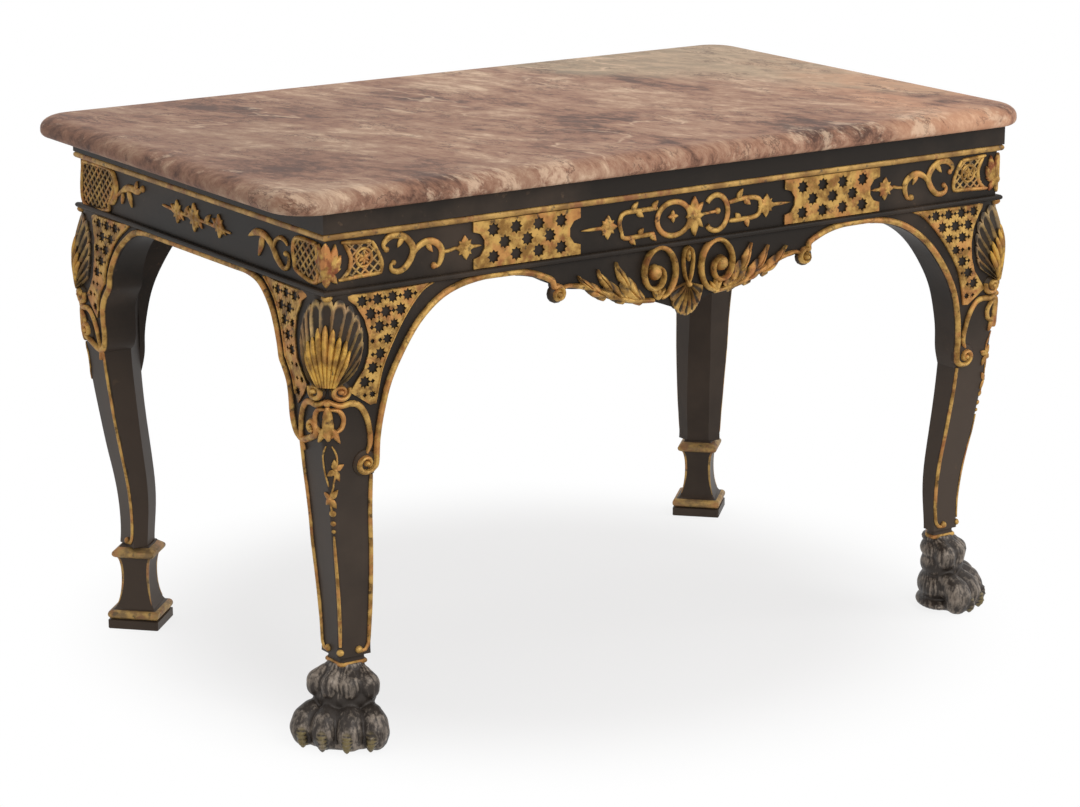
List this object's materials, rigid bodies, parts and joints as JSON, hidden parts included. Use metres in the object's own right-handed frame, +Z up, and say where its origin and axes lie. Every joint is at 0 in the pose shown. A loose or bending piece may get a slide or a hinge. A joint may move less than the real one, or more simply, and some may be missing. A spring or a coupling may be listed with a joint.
{
  "type": "pier table",
  "caption": "Rectangular marble-topped side table with carved cabriole legs, shell knees, arched rails, paw feet at the front and moulded block feet at the back.",
  "frame": {"origin": "floor level under the middle of the marble slab", "axes": "+X to the right along the long front, front faces -Y, +Z up"},
  "size_m": [1.298, 0.7978, 0.8],
  "materials": {
    "marble": "honed grey and rose veined marble",
    "black_lacquer": "ebonised wood, satin",
    "gilding": "water-gilt carved wood, worn",
    "paw_lacquer": "dark bronzed carved wood, satin",
    "raw_wood": "plain sawn wood"
  },
  "bodies": {
    "root": {"ankle_collar_left": "gilding", "ankle_collar_right": "gilding", "apron_front": "black_lacquer", "apron_leaf_left": "gilding", "apron_leaf_right": "gilding", "apron_ring": "gilding", "apron_scroll_left": "gilding", "apron_scroll_right": "gilding", "apron_shell": "gilding", "arch_bead_front_left": "gilding", "arch_bead_front_right": "gilding", "arch_bead_left": "gilding", "arch_bead_right": "gilding", "astragal_front": "black_lacquer", "astragal_left": "black_lacquer", "astragal_right": "black_lacquer", "block_foot_left": "black_lacquer", "block_foot_right": "black_lacquer", "bracket_back_left_on_back": "black_lacquer", "bracket_back_left_on_side": "black_lacquer", "bracket_back_right_on_back": "black_lacquer", "bracket_back_right_on_side": "black_lacquer", "bracket_front_left_on_front": "black_lacquer", "bracket_front_left_on_side": "black_lacquer", "bracket_front_right_on_front": "black_lacquer", "bracket_front_right_on_side": "black_lacquer", "corner_block_back_left": "raw_wood", "corner_block_back_right": "raw_wood", "corner_block_front_left": "raw_wood", "corner_block_front_right": "raw_wood", "cornice_back": "black_lacquer", "cornice_front": "black_lacquer", "cornice_left": "black_lacquer", "cornice_right": "black_lacquer", "foot_dowels": "raw_wood", "gilt_bead_front": "gilding", "gilt_bead_left": "gilding", "gilt_bead_right": "gilding", "knee_shell_back_left": "gilding", "knee_shell_back_right": "gilding", "knee_shell_front_left": "gilding", "knee_shell_front_right": "gilding", "leg_back_left": "black_lacquer", "leg_back_right": "black_lacquer", "leg_front_left": "black_lacquer", "leg_front_right": "black_lacquer", "marble_top": "marble", "paw_foot_left": "paw_lacquer", "paw_foot_right": "paw_lacquer", "rail_back": "black_lacquer", "rail_front": "black_lacquer", "rail_left": "black_lacquer", "rail_right": "black_lacquer", "slab_bearer_left": "raw_wood", "slab_bearer_right": "raw_wood", "tenon_pegs": "raw_wood", "trellis_panel_left": "gilding", "trellis_panel_right": "gilding"}
  },
  "joints": []
}
